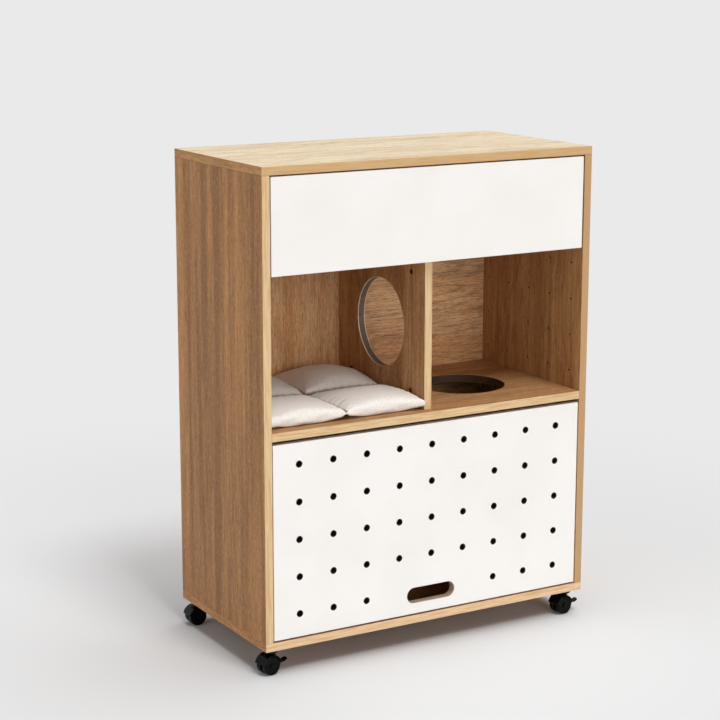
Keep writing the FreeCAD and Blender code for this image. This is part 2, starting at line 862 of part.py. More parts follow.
def hood_web_solid():
    """Web between the wheels, from the hood's arch down around the axle."""
    rim, boss = hood_outer - web_drop, axle_boss / 2
    start, end = hood_start_angle, hood_end_angle + web_lead_angle
    low, high = boss_start_angle, boss_end_angle
    arc = Part.Arc(on_circle(rim, start), on_circle(rim, (start + end) / 2), on_circle(rim, end)).toShape()
    below = Part.Arc(on_circle(boss, low), on_circle(boss, (low + high) / 2), on_circle(boss, high)).toShape()
    wire = Part.Wire([arc, Part.makeLine(on_circle(rim, end), on_circle(boss, low)), below,
                      Part.makeLine(on_circle(boss, high), on_circle(rim, start))])
    solid = Part.Face(wire).extrude(Vector(0, hood_web, 0))
    return solid.translated(Vector(0, -hood_web / 2, 0))


def lever_pivot():
    """Pivot of the brake lever, ahead of the axle."""
    return Vector(caster_trail - lever_pivot_lead, 0, lever_pivot_height)


def caster_hood(braked):
    """Hood over both wheels with its web, socket and axle bore; the braked one is slotted for the lever."""
    arch = ring_sector(hood_inner, hood_outer, hood_start_angle, hood_end_angle, 2 * wheel_outer)
    arch = arch.makeFillet(hood_edge, circle_edges(arch, hood_outer))
    collar_foot = Vector(0, 0, hood_top - hood_collar_height)
    collar = rod(hood_collar_diameter, collar_foot, Z_AXIS, hood_collar_height)
    socket = rod(socket_diameter, Vector(0, 0, socket_bottom), Z_AXIS, hood_top - socket_bottom)
    flare = Part.makeCone(socket_diameter / 2 + socket_flare, socket_diameter / 2, socket_flare_height,
                          Vector(0, 0, socket_bottom), Z_AXIS)
    wheels_end = Vector(caster_trail, -wheel_outer, wheel_radius)
    crown = fused([socket, flare]).cut(rod(2 * hood_inner, wheels_end, Y_AXIS, 2 * wheel_outer))
    hood = fused([arch, hood_web_solid(), crown, collar])
    cuts = [rod(kingpin_diameter + 2 * running_gap, Vector(0, 0, kingpin_floor), Z_AXIS, board),
            rod(axle_diameter + 2 * running_gap, wheels_end, Y_AXIS, 2 * wheel_outer)]
    if braked:
        pivot = lever_pivot()
        slot = lever_arm / 2 + lever_slot_gap
        low, high = wheel_radius - lever_well_below, pivot.z + lever_well_above
        cuts.append(box(-hood_outer, pivot.x + lever_well_reach, -slot, slot, low, high))
        cuts.append(box(-hood_outer, pivot.x - lever_well_reach, -hood_web, hood_web, low, high))
        cuts.append(rod(lever_trunnion + 2 * running_gap, pivot - Y_AXIS * hood_web, Y_AXIS, 2 * hood_web))
    return hood.cut(cuts)


def caster_axle():
    """Axle through the web, ending inside both wheels."""
    half = wheel_outer - axle_wall - axle_end_gap
    return rod(axle_diameter, Vector(caster_trail, -half, wheel_radius), Y_AXIS, 2 * half)


def caster_wheel(side):
    """One wheel: rounded tread, dished outer face with a hub, blind axle bore."""
    bore, hub = axle_diameter / 2 + running_gap, wheel_hub_diameter / 2
    inner, outer, r, dish = wheel_inner, wheel_outer, wheel_radius, wheel_dish_diameter / 2
    rim, floor = outer - wheel_dome, outer - wheel_dome - wheel_dish_depth
    outline = [(bore, inner), (r - wheel_edge, inner), (r, inner + wheel_edge), (r, rim - wheel_edge),
               (r - wheel_edge, rim), (dish, rim), (dish - wheel_lip, floor), (hub + wheel_lip, floor),
               (hub, outer), (0, outer), (0, outer - axle_wall), (bore, outer - axle_wall)]
    points = [Vector(caster_trail + radius, side * across, wheel_radius) for radius, across in outline]
    return revolved(points, Vector(caster_trail, 0, wheel_radius), Y_AXIS)


def lever_slab(points, width):
    """Slab of the brake lever from its outline seen from the side."""
    slab = Part.Face(Part.makePolygon(points + points[:1])).extrude(Vector(0, width, 0))
    return slab.translated(Vector(0, -width / 2, 0))


def lever_pad():
    """Paddle of the brake lever: a narrow neck that flares to a rounded tip, laid along -X."""
    neck, half = lever_neck_width / 2, lever_width / 2
    flare = lever_neck_length + lever_flare_length
    reach = [(-lever_pad_overlap, neck), (lever_neck_length, neck), (flare, half), (lever_length, half)]
    outline = [Vector(-along, -across, 0) for along, across in reach]
    outline += [Vector(-along, across, 0) for along, across in reversed(reach)]
    slab = Part.Face(Part.makePolygon(outline + outline[:1])).extrude(Vector(0, 0, lever_thickness))
    upright = edges_along(slab, Z_AXIS)
    turns = [e for e in upright if -flare - fit_gap < e.CenterOfMass.x < -lever_neck_length + fit_gap]
    slab = slab.makeFillet(lever_neck_corner, turns)
    tips = [e for e in edges_along(slab, Z_AXIS) if e.CenterOfMass.x < -lever_length + fit_gap]
    return slab.makeFillet(lever_tip_corner, tips)


def brake_lever():
    """Pedal that tilts on its trunnions and presses a shoe against both treads."""
    pivot = lever_pivot()
    root = Vector(caster_trail - lever_root_radius, 0, lever_root_height)
    arm = lever_slab([pivot + Vector(lever_arm_front, 0, -lever_arm_below),
                      pivot + Vector(lever_arm_front, 0, lever_arm_above),
                      Vector(root.x, 0, pivot.z + lever_arm_rise), root], lever_arm)
    pad = placed(lever_pad(), FreeCAD.Placement(root, FreeCAD.Rotation(Y_AXIS, lever_slope)))
    shoe_x = caster_trail - wheel_radius - shoe_gap
    shoe_z = wheel_radius - shoe_height / 2
    shoe = box(shoe_x - shoe_thickness, shoe_x, -shoe_width / 2, shoe_width / 2, shoe_z, shoe_z + shoe_height)
    half = hood_web / 2 - trunnion_end_gap
    trunnion = rod(lever_trunnion, pivot - Y_AXIS * half, Y_AXIS, 2 * half)
    return fused([arm, pad, shoe, trunnion])


def caster_parts():
    """The four casters at their corners, turned the way that they trail."""
    parts = {}
    kingpins = []
    plate, pin, axle = caster_plate(), kingpin(), caster_axle()
    hoods = {braked: caster_hood(braked) for braked in (True, False)}
    wheels = {"left": caster_wheel(1), "right": caster_wheel(-1)}
    lever = brake_lever()
    for name, (sign_x, sign_y, trail_angle, braked) in casters.items():
        centre = caster_centre(sign_x, sign_y)
        turned = FreeCAD.Placement(centre, FreeCAD.Rotation(Z_AXIS, trail_angle))
        parts["caster_plate_" + name] = plate.translated(centre)
        kingpins.append(pin.translated(centre))
        parts["caster_hood_" + name] = placed(hoods[braked], turned)
        parts["caster_axle_" + name] = placed(axle, turned)
        for wheel_name, wheel in wheels.items():
            parts["caster_wheel_%s_%s" % (wheel_name, name)] = placed(wheel, turned)
        if braked:
            parts["brake_lever_" + name] = placed(lever, turned)
    parts["caster_kingpins"] = group(kingpins)
    sizes = (caster_screw_length, caster_screw_shank, caster_screw_head)
    parts["caster_screws"] = group([pan_screw(point, Z_AXIS, *sizes) for point in caster_screw_points()])
    return parts


# Cushion

def puff_outline(x0, x1, y0, y1, z, inset, bow):
    """Closed outline of one puff at a height: bowed sides and rounded corners."""
    corner = cushion_corner - inset / 5
    left, right, low, high = x0 + inset, x1 - inset, y0 + inset, y1 - inset
    middle_x, middle_y = (left + right) / 2, (low + high) / 2
    q = corner * (1 - math.sqrt(0.5))
    sides = [
        (Vector(left + corner, low, z), Vector(middle_x, low - bow, z), Vector(right - corner, low, z)),
        (Vector(right, low + corner, z), Vector(right + bow, middle_y, z), Vector(right, high - corner, z)),
        (Vector(right - corner, high, z), Vector(middle_x, high + bow, z), Vector(left + corner, high, z)),
        (Vector(left, high - corner, z), Vector(left - bow, middle_y, z), Vector(left, low + corner, z)),
    ]
    corners = [Vector(right - q, low + q, z), Vector(right - q, high - q, z),
               Vector(left + q, high - q, z), Vector(left + q, low + q, z)]
    edges = []
    for index, (start, middle, end) in enumerate(sides):
        edges.append(Part.Arc(start, middle, end).toShape())
        following = sides[(index + 1) % 4][0]
        edges.append(Part.Arc(end, corners[index], following).toShape())
    return Part.Wire(edges)


def cushion():
    """Quilted cushion: four crowned puffs that meet in a sewn cross."""
    x0, x1 = -inner_x + cushion_gap, -board / 2 - cushion_gap
    y0, y1 = front_y + cushion_front_inset + cushion_side_bow, back_face_y - cushion_gap - cushion_side_bow
    floor = shelf_top + cushion_rest_gap
    middle_x, middle_y = (x0 + x1) / 2, (y0 + y1) / 2
    rise = cushion_crown - cushion_seam_height
    puffs = []
    for left, right in ((x0, middle_x), (middle_x, x1)):
        for low, high in ((y0, middle_y), (middle_y, y1)):
            left_in = left + (cushion_side_bow if left == x0 else 0)
            right_in = right - (cushion_side_bow if right == x1 else 0)
            levels = [(floor + up * cushion_seam_height, share * cushion_foot_inset)
                      for up, share in cushion_foot]
            levels += [(floor + cushion_seam_height + up * rise, share * cushion_crown_inset)
                       for up, share in cushion_top]
            wires = [puff_outline(left_in, right_in, low, high, z, inset, cushion_side_bow / 2)
                     for z, inset in levels]
            puffs.append(Part.makeLoft(wires, True, False))
    inset = cushion_core_inset
    core_low = floor + cushion_seam_height - cushion_core_height
    core = box(x0 + inset, x1 - inset, y0 + inset, y1 - inset, core_low, core_low + cushion_core_height)
    return fused(puffs + [core])


def build():
    """Every node of the part by name."""
    parts = carcass()
    parts.update(lower_door())
    parts.update(drawer())
    parts.update(runners())
    parts.update(caster_parts())
    parts["cushion"] = cushion()
    return parts


os.makedirs("parts", exist_ok=True)
for node, shape in build().items():
    shape.exportStep("parts/" + node + ".step")
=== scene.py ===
"""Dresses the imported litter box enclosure: oak-effect boards, white fronts, cushion and casters."""

import logging
import math
from dataclasses import dataclass
from enum import Enum

import bmesh
import bpy
from mathutils import Matrix, Vector


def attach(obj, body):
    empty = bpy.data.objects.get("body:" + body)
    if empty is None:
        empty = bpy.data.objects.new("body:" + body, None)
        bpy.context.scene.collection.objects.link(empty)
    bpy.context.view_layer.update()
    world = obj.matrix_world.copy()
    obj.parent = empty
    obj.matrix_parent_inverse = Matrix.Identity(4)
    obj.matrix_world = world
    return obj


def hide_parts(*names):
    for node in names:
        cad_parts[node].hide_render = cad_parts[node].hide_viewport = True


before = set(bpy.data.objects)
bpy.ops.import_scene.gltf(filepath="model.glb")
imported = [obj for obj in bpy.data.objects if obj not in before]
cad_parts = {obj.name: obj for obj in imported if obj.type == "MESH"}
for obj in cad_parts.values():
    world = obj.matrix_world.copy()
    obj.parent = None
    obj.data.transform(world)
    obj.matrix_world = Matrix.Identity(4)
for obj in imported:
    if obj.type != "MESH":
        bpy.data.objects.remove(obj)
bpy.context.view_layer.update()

LOG = logging.getLogger("litter_box_enclosure")
MM = 0.001
BOARD = 18 * MM
FLAT_CLOTH = "flat_cloth"
CASTER_NAMES = ("front_left", "front_right", "rear_left", "rear_right")
BRAKED_CASTERS = ("front_left", "front_right")

# Size of a unit normal's part along an axis: above FACING the surface faces that way, and no surface reaches
# NEVER_FACING.
FACING = 0.7
NEVER_FACING = 2.0


def linear(hex_colour: str) -> tuple[float, float, float, float]:
    """Turns an sRGB hex colour into a linear colour.

    Args:
        hex_colour: Colour as #RRGGBB.

    Returns:
        Linear red, green, blue and an alpha of 1.
    """
    channels = [int(hex_colour[i:i + 2], 16) / 255 for i in (1, 3, 5)]
    lin = [c / 12.92 if c <= 0.04045 else ((c + 0.055) / 1.055) ** 2.4 for c in channels]
    return (lin[0], lin[1], lin[2], 1.0)


def add_node(tree: bpy.types.NodeTree, kind: str, inputs: dict | None = None, **settings) -> bpy.types.Node:
    """Adds a node with its settings and links.

    Args:
        tree: Node tree to add to.
        kind: Node type.
        inputs: Input name or number, with the socket that feeds it or its own value.
        **settings: Properties of the node.

    Returns:
        The node.
    """
    node = tree.nodes.new(kind)
    for name, value in settings.items():
        setattr(node, name, value)
    for key, value in (inputs or {}).items():
        if isinstance(value, bpy.types.NodeSocket):
            tree.links.new(value, node.inputs[key])
        else:
            node.inputs[key].default_value = value
    return node


def blank_material(name: str) -> tuple[bpy.types.Material, bpy.types.NodeTree]:
    """Makes an empty node material.

    Args:
        name: Name of the material.

    Returns:
        The material and its node tree.
    """
    material = bpy.data.materials.new(name)
    material.use_nodes = True
    material.node_tree.nodes.clear()
    return material, material.node_tree


def add_math(tree: bpy.types.NodeTree, operation: str, *values) -> bpy.types.NodeSocket:
    """Adds a math node.

    Args:
        tree: Node tree to add to.
        operation: What it works out.
        *values: Its inputs in order, each a socket or a number.

    Returns:
        Socket of the result.
    """
    return add_node(tree, "ShaderNodeMath", dict(enumerate(values)), operation=operation).outputs[0]


def add_surface(tree: bpy.types.NodeTree, inputs: dict) -> None:
    """Adds the surface shader and the output of a material.

    Args:
        tree: Node tree to add to.
        inputs: Inputs of the shader.
    """
    shader = add_node(tree, "ShaderNodeBsdfPrincipled", inputs)
    add_node(tree, "ShaderNodeOutputMaterial", {0: shader.outputs[0]})


def add_rays(tree: bpy.types.NodeTree, *kinds: str) -> bpy.types.NodeSocket:
    """Adds the nodes that are 1 for some kinds of rays.

    Args:
        tree: Node tree to add to.
        *kinds: Names of the kinds.

    Returns:
        Socket of the result.
    """
    rays = add_node(tree, "ShaderNodeLightPath")
    seen = rays.outputs[kinds[0]]
    for kind in kinds[1:]:
        seen = add_math(tree, "MAXIMUM", seen, rays.outputs[kind])
    return seen


def add_piece(name: str, bm: bmesh.types.BMesh) -> bpy.types.Object:
    """Makes an object of mesh data and frees the data.

    Args:
        name: Name of the object and of its mesh.
        bm: The mesh data.

    Returns:
        The object.
    """
    mesh = bpy.data.meshes.new(name)
    bm.to_mesh(mesh)
    bm.free()
    piece = bpy.data.objects.new(name, mesh)
    bpy.context.scene.collection.objects.link(piece)
    return piece


def set_ramp(ramp: bpy.types.Node, stops: list[tuple[float, str]]) -> bpy.types.Node:
    """Puts colours on a colour ramp.

    Args:
        ramp: Colour ramp node.
        stops: Places and hex colours, from low to high.

    Returns:
        The same node.
    """
    elements = ramp.color_ramp.elements
    while len(elements) < len(stops):
        elements.new(0.5)
    for element, (place, colour) in zip(elements, stops):
        element.position = place
        element.color = linear(colour)
    return ramp


class Axis(Enum):
    """Axis of the part's frame, with its number."""

    X = 0
    Y = 1
    Z = 2

    def stretched(self, along: float, across: float) -> tuple[float, float, float]:
        """Makes a pattern's scale.

        Args:
            along: Scale along this axis.
            across: Scale along the other two.

        Returns:
            The three scales.
        """
        return tuple(along if axis is self else across for axis in Axis)


@dataclass(frozen=True)
class CutEdge:
    """Where a board's raw core shows: walls across its faces, inside a box.

    Blind holes count to their bottoms. In the vent and peg holes the core colours are near black, as painted
    shade.
    """

    thickness: Axis
    low: tuple[float, float, float]
    high: tuple[float, float, float]
    core: str = "#4E3C2C"
    chip: str = "#7A6048"
    rim: str = "#E6D8C2"
    rim_width: float = 0.0
    blind: bool = False
    crumb: float = 2.4 * MM

    def mask(self, tree: bpy.types.NodeTree) -> bpy.types.NodeSocket:
        """Adds the nodes that are 1 on the raw core.

        Args:
            tree: Node tree to add to.

        Returns:
            Socket of the mask.
        """
        coords = add_node(tree, "ShaderNodeTexCoord")
        normal = add_node(tree, "ShaderNodeSeparateXYZ", {0: coords.outputs["Normal"]})
        place = add_node(tree, "ShaderNodeSeparateXYZ", {0: coords.outputs["Object"]})
        level = add_math(tree, "ABSOLUTE", normal.outputs[self.thickness.value])
        mask = add_math(tree, "LESS_THAN", level, NEVER_FACING if self.blind else FACING)
        for axis in Axis:
            middle = (self.low[axis.value] + self.high[axis.value]) / 2
            half = (self.high[axis.value] - self.low[axis.value]) / 2
            near = add_math(tree, "COMPARE", place.outputs[axis.value], middle, half)
            mask = add_math(tree, "MULTIPLY", mask, near)
        return mask

    def over(self, tree: bpy.types.NodeTree, base: bpy.types.NodeSocket) -> bpy.types.NodeSocket:
        """Lays the core, and the bright line where the facing ends, over a board's colour.

        Args:
            tree: Node tree to add to.
            base: Colour of the board.

        Returns:
            Socket of the colour.
        """
        coords = add_node(tree, "ShaderNodeTexCoord")
        crumbs = add_node(tree, "ShaderNodeTexVoronoi",
                          {"Vector": coords.outputs["Object"], "Scale": 1 / self.crumb})
        core = set_ramp(add_node(tree, "ShaderNodeValToRGB", {0: crumbs.outputs["Distance"]}),
                        [(0.15, self.core), (0.75, self.chip)]).outputs[0]
        if self.rim_width:
            number = self.thickness.value
            place = add_node(tree, "ShaderNodeSeparateXYZ", {0: coords.outputs["Object"]})
            middle = (self.low[number] + self.high[number]) / 2
            inner = add_math(tree, "COMPARE", place.outputs[number], middle, BOARD / 2 - self.rim_width)
            core = mixed(tree, inner, linear(self.rim), core)
        return mixed(tree, self.mask(tree), base, core)


def mixed(tree: bpy.types.NodeTree, factor, first, second) -> bpy.types.NodeSocket:
    """Mixes two colours.

    Args:
        tree: Node tree to add to.
        factor: Share of the second colour, a socket or a number.
        first: First colour, a socket or a linear colour.
        second: Second colour, a socket or a linear colour.

    Returns:
        Socket of the result.
    """
    return add_node(tree, "ShaderNodeMix", {0: factor, 6: first, 7: second}, data_type="RGBA").outputs[2]


@dataclass(frozen=True)
class OakLaminate:
    """Melamine-faced board printed with oak.

    It is half matt, with printed streaks, shallow pressed pores and edge bands.
    """

    light: str = "#D9A468"
    middle: str = "#C08A52"
    dark: str = "#6B4020"
    band: str = "#DFC49A"
    band_line: str = "#C9965C"
    streak_width: float = 46 * MM
    line_width: float = 80 * MM
    line_share: float = 0.16
    line_turns: float = 64.0
    fibre_width: float = 2.4 * MM
    fibre_share: float = 0.46
    pore_width: float = 1.3 * MM
    pore_depth: float = 0.12 * MM
    roughness: float = 0.5
    specular: float = 0.25
    band_behind: float = -0.17
    band_share: float = 0.9
    # Colours of the painted sheen on the face that looks up.
    painted_sheen_light: str = ""
    painted_sheen_middle: str = ""

    def material(self, name: str, grain: Axis, shift: float,
                 cuts: tuple[CutEdge, ...] = ()) -> bpy.types.Material:
        """Makes the material of one board.

        Args:
            name: Name of the board.
            grain: Axis that the grain runs along.
            shift: Distance that moves the pattern, so that boards differ.
            cuts: Where the raw core shows, if anywhere.

        Returns:
            The material.
        """
        material, tree = blank_material("oak_laminate_" + name)
        coords = add_node(tree, "ShaderNodeTexCoord")
        spot = add_node(tree, "ShaderNodeSeparateXYZ", {0: coords.outputs["Object"]})
        normal = add_node(tree, "ShaderNodeSeparateXYZ", {0: coords.outputs["Normal"]})
        place = coords.outputs["Object"]
        if grain is Axis.X:
            # The bands on the board's ends have their grain along the ends.
            turned = add_node(tree, "ShaderNodeCombineXYZ",
                              {0: spot.outputs[1], 1: spot.outputs[0], 2: spot.outputs[2]})
            end = add_math(tree, "GREATER_THAN", add_math(tree, "ABSOLUTE", normal.outputs[0]), FACING)
            place = add_node(tree, "ShaderNodeMix", {0: end, 4: place, 5: turned.outputs[0]},
                             data_type="VECTOR").outputs[1]
        place = add_node(tree, "ShaderNodeVectorMath", {0: place, 1: (shift, shift * 1.7, shift * 0.6)},
                         operation="ADD").outputs[0]

        def noise(width: float, length: float, detail: float,
                  distortion: float = 0.0) -> bpy.types.NodeSocket:
            """Adds noise that follows the grain.

            Args:
                width: Width of its features across the grain.
                length: Length of its features along the grain.
                detail: How many finer layers it has.
                distortion: How much it is bent.

            Returns:
                Socket of the noise.
            """
            scale = grain.stretched(1 / length, 1 / width)
            scaled = add_node(tree, "ShaderNodeVectorMath", {0: place, 1: scale}, operation="MULTIPLY")
            node = add_node(tree, "ShaderNodeTexNoise",
                            {"Vector": scaled.outputs[0], "Scale": 1.0, "Detail": detail, "Roughness": 0.6,
                             "Distortion": distortion})
            return node.outputs["Fac"]

        def share(value: bpy.types.NodeSocket, low: float, high: float, top: float) -> bpy.types.NodeSocket:
            """Adds a share that rises from none to the top between two values.

            Args:
                value: What it follows.
                low: Where it starts to rise.
                high: Where it is at the top.
                top: The largest share.

            Returns:
                Socket of the share.
            """
            limits = {0: value, 1: low, 2: high, 3: 0.0, 4: top}
            return add_node(tree, "ShaderNodeMapRange", limits).outputs[0]

        streaks = noise(self.streak_width, self.streak_width * 26, 2.0)
        figure = noise(self.line_width, self.line_width * 9, 2.0, 0.3)
        lines = add_math(tree, "SINE", add_math(tree, "MULTIPLY", figure, self.line_turns))
        fibres = noise(self.fibre_width, self.fibre_width * 24, 2.0)
        pores = noise(self.pore_width, self.pore_width * 12, 1.0)
        flecks = noise(self.fibre_width * 0.8, self.fibre_width * 4, 1.0)

        base = set_ramp(add_node(tree, "ShaderNodeValToRGB", {0: streaks}),
                        [(0.36, self.middle), (0.6, self.light)]).outputs[0]
        if self.painted_sheen_light:
            # Painted sheen: the face that looks up is painted paler, for the bright background's reflection
            # at a grazing view.
            painted_sheen = set_ramp(add_node(tree, "ShaderNodeValToRGB", {0: streaks}),
                             [(0.36, self.painted_sheen_middle), (0.6, self.painted_sheen_light)]).outputs[0]
            base = mixed(tree, share(normal.outputs[2], 0.6, 0.9, 1.0), base, painted_sheen)
        base = mixed(tree, share(lines, 0.45, 0.95, self.line_share), base, linear(self.dark))
        base = mixed(tree, share(fibres, 0.46, 0.68, self.fibre_share), base, linear(self.dark))
        base = mixed(tree, share(flecks, 0.55, 0.7, 0.3), base, linear(self.band))
        base = mixed(tree, share(pores, 0.56, 0.66, self.fibre_share * 1.15), base, linear(self.dark))

        edge = add_math(tree, "MULTIPLY", add_math(tree, "LESS_THAN", spot.outputs[1], self.band_behind),
                        share(normal.outputs[1], -0.6, -0.9, self.band_share))
        band = mixed(tree, share(fibres, 0.4, 0.66, 0.6), linear(self.band), linear(self.band_line))
        base = mixed(tree, edge, base, band)
        for cut in cuts:
            base = cut.over(tree, base)
        rough = add_node(tree, "ShaderNodeMapRange",
                         {0: fibres, 1: 0.3, 2: 0.7, 3: self.roughness * 0.88, 4: self.roughness * 1.12})
        bump = add_node(tree, "ShaderNodeBump",
                        {"Height": pores, "Distance": self.pore_depth, "Strength": 0.35}, invert=True)
        add_surface(tree, {"Base Color": base, "Roughness": rough.outputs[0], "IOR": 1.46,
                           "Specular IOR Level": self.specular, "Normal": bump.outputs[0]})
        return material


@dataclass(frozen=True)
class WhiteMelamine:
    """White melamine over board: smooth and half matt, with a faint orange peel; raw core in the holes."""

    face: str = "#F0ECE8"
    shade: str = "#EBE7E2"
    peel_width: float = 1.6 * MM
    peel_depth: float = 0.05 * MM
    cloud_scale: float = 5.0
    specular: float = 0.35

    def material(self, name: str, cuts: tuple[CutEdge, ...] = ()) -> bpy.types.Material:
        """Makes the material of one front.

        Args:
            name: Name of the front.
            cuts: Where the raw core shows, if anywhere.

        Returns:
            The material.
        """
        material, tree = blank_material("white_melamine_" + name)
        coords = add_node(tree, "ShaderNodeTexCoord")
        cloud = add_node(tree, "ShaderNodeTexNoise",
                         {"Vector": coords.outputs["Object"], "Scale": self.cloud_scale, "Detail": 3.0})
        peel = add_node(tree, "ShaderNodeTexNoise",
                        {"Vector": coords.outputs["Object"], "Scale": 1 / self.peel_width, "Detail": 2.0})
        base = set_ramp(add_node(tree, "ShaderNodeValToRGB", {0: cloud.outputs["Fac"]}),
                        [(0.3, self.shade), (0.6, self.face)]).outputs[0]
        for cut in cuts:
            base = cut.over(tree, base)
        rough = add_node(tree, "ShaderNodeMapRange",
                         {0: peel.outputs["Fac"], 1: 0.3, 2: 0.7, 3: 0.36, 4: 0.46})
        bump = add_node(tree, "ShaderNodeBump",
                        {"Height": peel.outputs["Fac"], "Distance": self.peel_depth, "Strength": 0.4})
        add_surface(tree, {"Base Color": base, "Roughness": rough.outputs[0], "IOR": 1.5,
                           "Specular IOR Level": self.specular, "Normal": bump.outputs[0]})
        return material


@dataclass(frozen=True)
class PlainFinish:
    """Even finish with fine mottling, such as moulded nylon, zinc-plated steel or beech."""

    name: str
    colour: str
    second: str
    roughness: float
    metallic: float = 0.0
    grain_size: float = 0.6 * MM
    bump: float = 0.03 * MM
    specular: float = 0.5

    def material(self) -> bpy.types.Material:
        """Makes the material.

        Returns:
            The material.
        """
        material, tree = blank_material(self.name)
        coords = add_node(tree, "ShaderNodeTexCoord")
        grain = add_node(tree, "ShaderNodeTexNoise",
                         {"Vector": coords.outputs["Object"], "Scale": 1 / self.grain_size, "Detail": 3.0})
        base = set_ramp(add_node(tree, "ShaderNodeValToRGB", {0: grain.outputs["Fac"]}),
                        [(0.35, self.colour), (0.7, self.second)]).outputs[0]
        rough = add_node(tree, "ShaderNodeMapRange", {0: grain.outputs["Fac"], 1: 0.3, 2: 0.7,
                                                      3: self.roughness * 0.85, 4: self.roughness * 1.15})
        bump = add_node(tree, "ShaderNodeBump",
                        {"Height": grain.outputs["Fac"], "Distance": self.bump, "Strength": 0.3})
        add_surface(tree, {"Base Color": base, "Roughness": rough.outputs[0], "Metallic": self.metallic,
                           "Specular IOR Level": self.specular, "Normal": bump.outputs[0]})
        return material


@dataclass(frozen=True)
class CottonCanvas:
    """Unbleached cotton canvas in plain weave: matt, with a soft sheen at grazing angles.

    The threads are drawn wider than real ones, so that they show.
    """

    light: str = "#F3EFE9"
    shade: str = "#E2DBD1"
    # Colour of the painted shade along the sewn crease.
    crease_shade: str = "#6B5B4D"
    crease_shade_width: float = 5 * MM
    thread: float = 1.2 * MM
    sewing: float = 1.2 * MM
    slub_scale: float = 420.0
    weave_depth: float = 0.25 * MM

    def material(self, seams: tuple[float, float]) -> bpy.types.Material:
        """Makes the material. The weave follows the flat cloth, which the map keeps in metres.

        Args:
            seams: Where the sewn cross lies on the flat cloth.

        Returns:
            The material.
        """
        material, tree = blank_material("cotton_canvas")
        coords = add_node(tree, "ShaderNodeTexCoord")
        cloth = add_node(tree, "ShaderNodeUVMap", uv_map=FLAT_CLOTH)
        place = add_node(tree, "ShaderNodeSeparateXYZ", {0: cloth.outputs[0]})
        waves = []
        for number in (0, 1):
            phase = add_math(tree, "MULTIPLY", place.outputs[number], math.pi / self.thread)
            waves.append(add_math(tree, "SINE", phase))
        over = add_math(tree, "MULTIPLY", *waves)
        weave = add_node(tree, "ShaderNodeMapRange", {0: over, 1: -1.0, 2: 1.0, 3: 0.0, 4: 1.0}).outputs[0]
        slubs = {"Vector": coords.outputs["Object"], "Scale": self.slub_scale, "Detail": 4.0}
        slub = add_node(tree, "ShaderNodeTexNoise", slubs).outputs["Fac"]
        worn = add_math(tree, "MULTIPLY_ADD", weave, 0.25, slub)
        base = set_ramp(add_node(tree, "ShaderNodeValToRGB", {0: worn}),
                        [(0.4, self.shade), (0.75, self.light)]).outputs[0]
        for number in (0, 1):
            # Painted shade along the sewn cross: full over the thread's width, fading out across the crease.
            off = add_math(tree, "SUBTRACT", place.outputs[number], seams[number])
            crease_shade = add_node(tree, "ShaderNodeMapRange", {0: add_math(tree, "ABSOLUTE", off), 1: self.sewing,
                                                           2: self.crease_shade_width, 3: 0.9, 4: 0.0})
            base = mixed(tree, crease_shade.outputs[0], base, linear(self.crease_shade))
        height = add_math(tree, "MULTIPLY_ADD", slub, 2.0, weave)
        bump = add_node(tree, "ShaderNodeBump",
                        {"Height": height, "Distance": self.weave_depth, "Strength": 0.3})
        add_surface(tree, {"Base Color": base, "Roughness": 0.9, "Specular IOR Level": 0.2,
                           "Sheen Weight": 0.15,
                           "Sheen Roughness": 0.4, "Normal": bump.outputs[0]})
        return material


def dress(node: str, material: bpy.types.Material) -> None:
    """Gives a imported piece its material.

    Args:
        node: Name of the piece.
        material: Its material.
    """
    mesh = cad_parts[node].data
    mesh.materials.clear()
    mesh.materials.append(material)


BLACK_NYLON = PlainFinish("moulded_black_nylon", "#030303", "#060606", 0.16, specular=0.11)
ZINC = PlainFinish("zinc_plated_steel", "#B9BCBE", "#CFD2D4", 0.32, metallic=1.0, grain_size=0.8 * MM)
BLACK_STEEL = PlainFinish("black_oxide_steel", "#0C0C0D", "#141415", 0.4, metallic=0.3, specular=0.3)
GREY_NYLON = PlainFinish("moulded_grey_nylon", "#8D8F91", "#999B9D", 0.45)
BEECH = PlainFinish("turned_beech", "#D8B48A", "#C99F72", 0.6, grain_size=2 * MM)
BRONZED_ZINC = PlainFinish("bronzed_zinc_alloy", "#2E2118", "#3B2B1F", 0.45, metallic=0.3)
DRAWER_BOARD = PlainFinish("birch_drawer_board", "#DCC6A0", "#CDB38A", 0.5, grain_size=3 * MM)


# OAK is the oak print itself. The copies below are the same print, with tones set board by board as painted
# light and shade: the back boards lighter; the left side, base, bays, shelf, right side and top darker; the
# right side's and top's bands darker and the base's band paler; the top's upward face paler as painted sheen.
OAK = OakLaminate()
TOP_OAK = OakLaminate(light="#CE9B62", middle="#AC7B48", band="#CDAC7E", roughness=0.55, specular=0.22,
                      painted_sheen_light="#E8D6B8", painted_sheen_middle="#DAC5A2", line_share=0.2, fibre_share=0.3)
LEFT_OAK = OakLaminate(light="#C88F56", middle="#9A693A")
BASE_OAK = OakLaminate(light="#C88F56", middle="#9A693A", band="#E6CAA4")
BAY_OAK = OakLaminate(light="#CB9A6A", middle="#AC7A4C", line_share=0.3)
BACK_OAK = OakLaminate(light="#DDAC7B", middle="#C6915E", line_share=0.1)
RIGHT_BACK_OAK = OakLaminate(light="#EBBC8B", middle="#D8A270", line_share=0.34)
RIGHT_OAK = OakLaminate(light="#CF9F6C", middle="#B4824F", band="#B99871", line_share=0.24)
SHELF_OAK = OakLaminate(light="#CB9C6C", middle="#AF7F50")


@dataclass(frozen=True)
class Board:
    """One board: the way of its grain, its print, and its cuts."""

    node: str
    grain: Axis
    print: OakLaminate = OAK
    cuts: tuple[CutEdge, ...] = ()


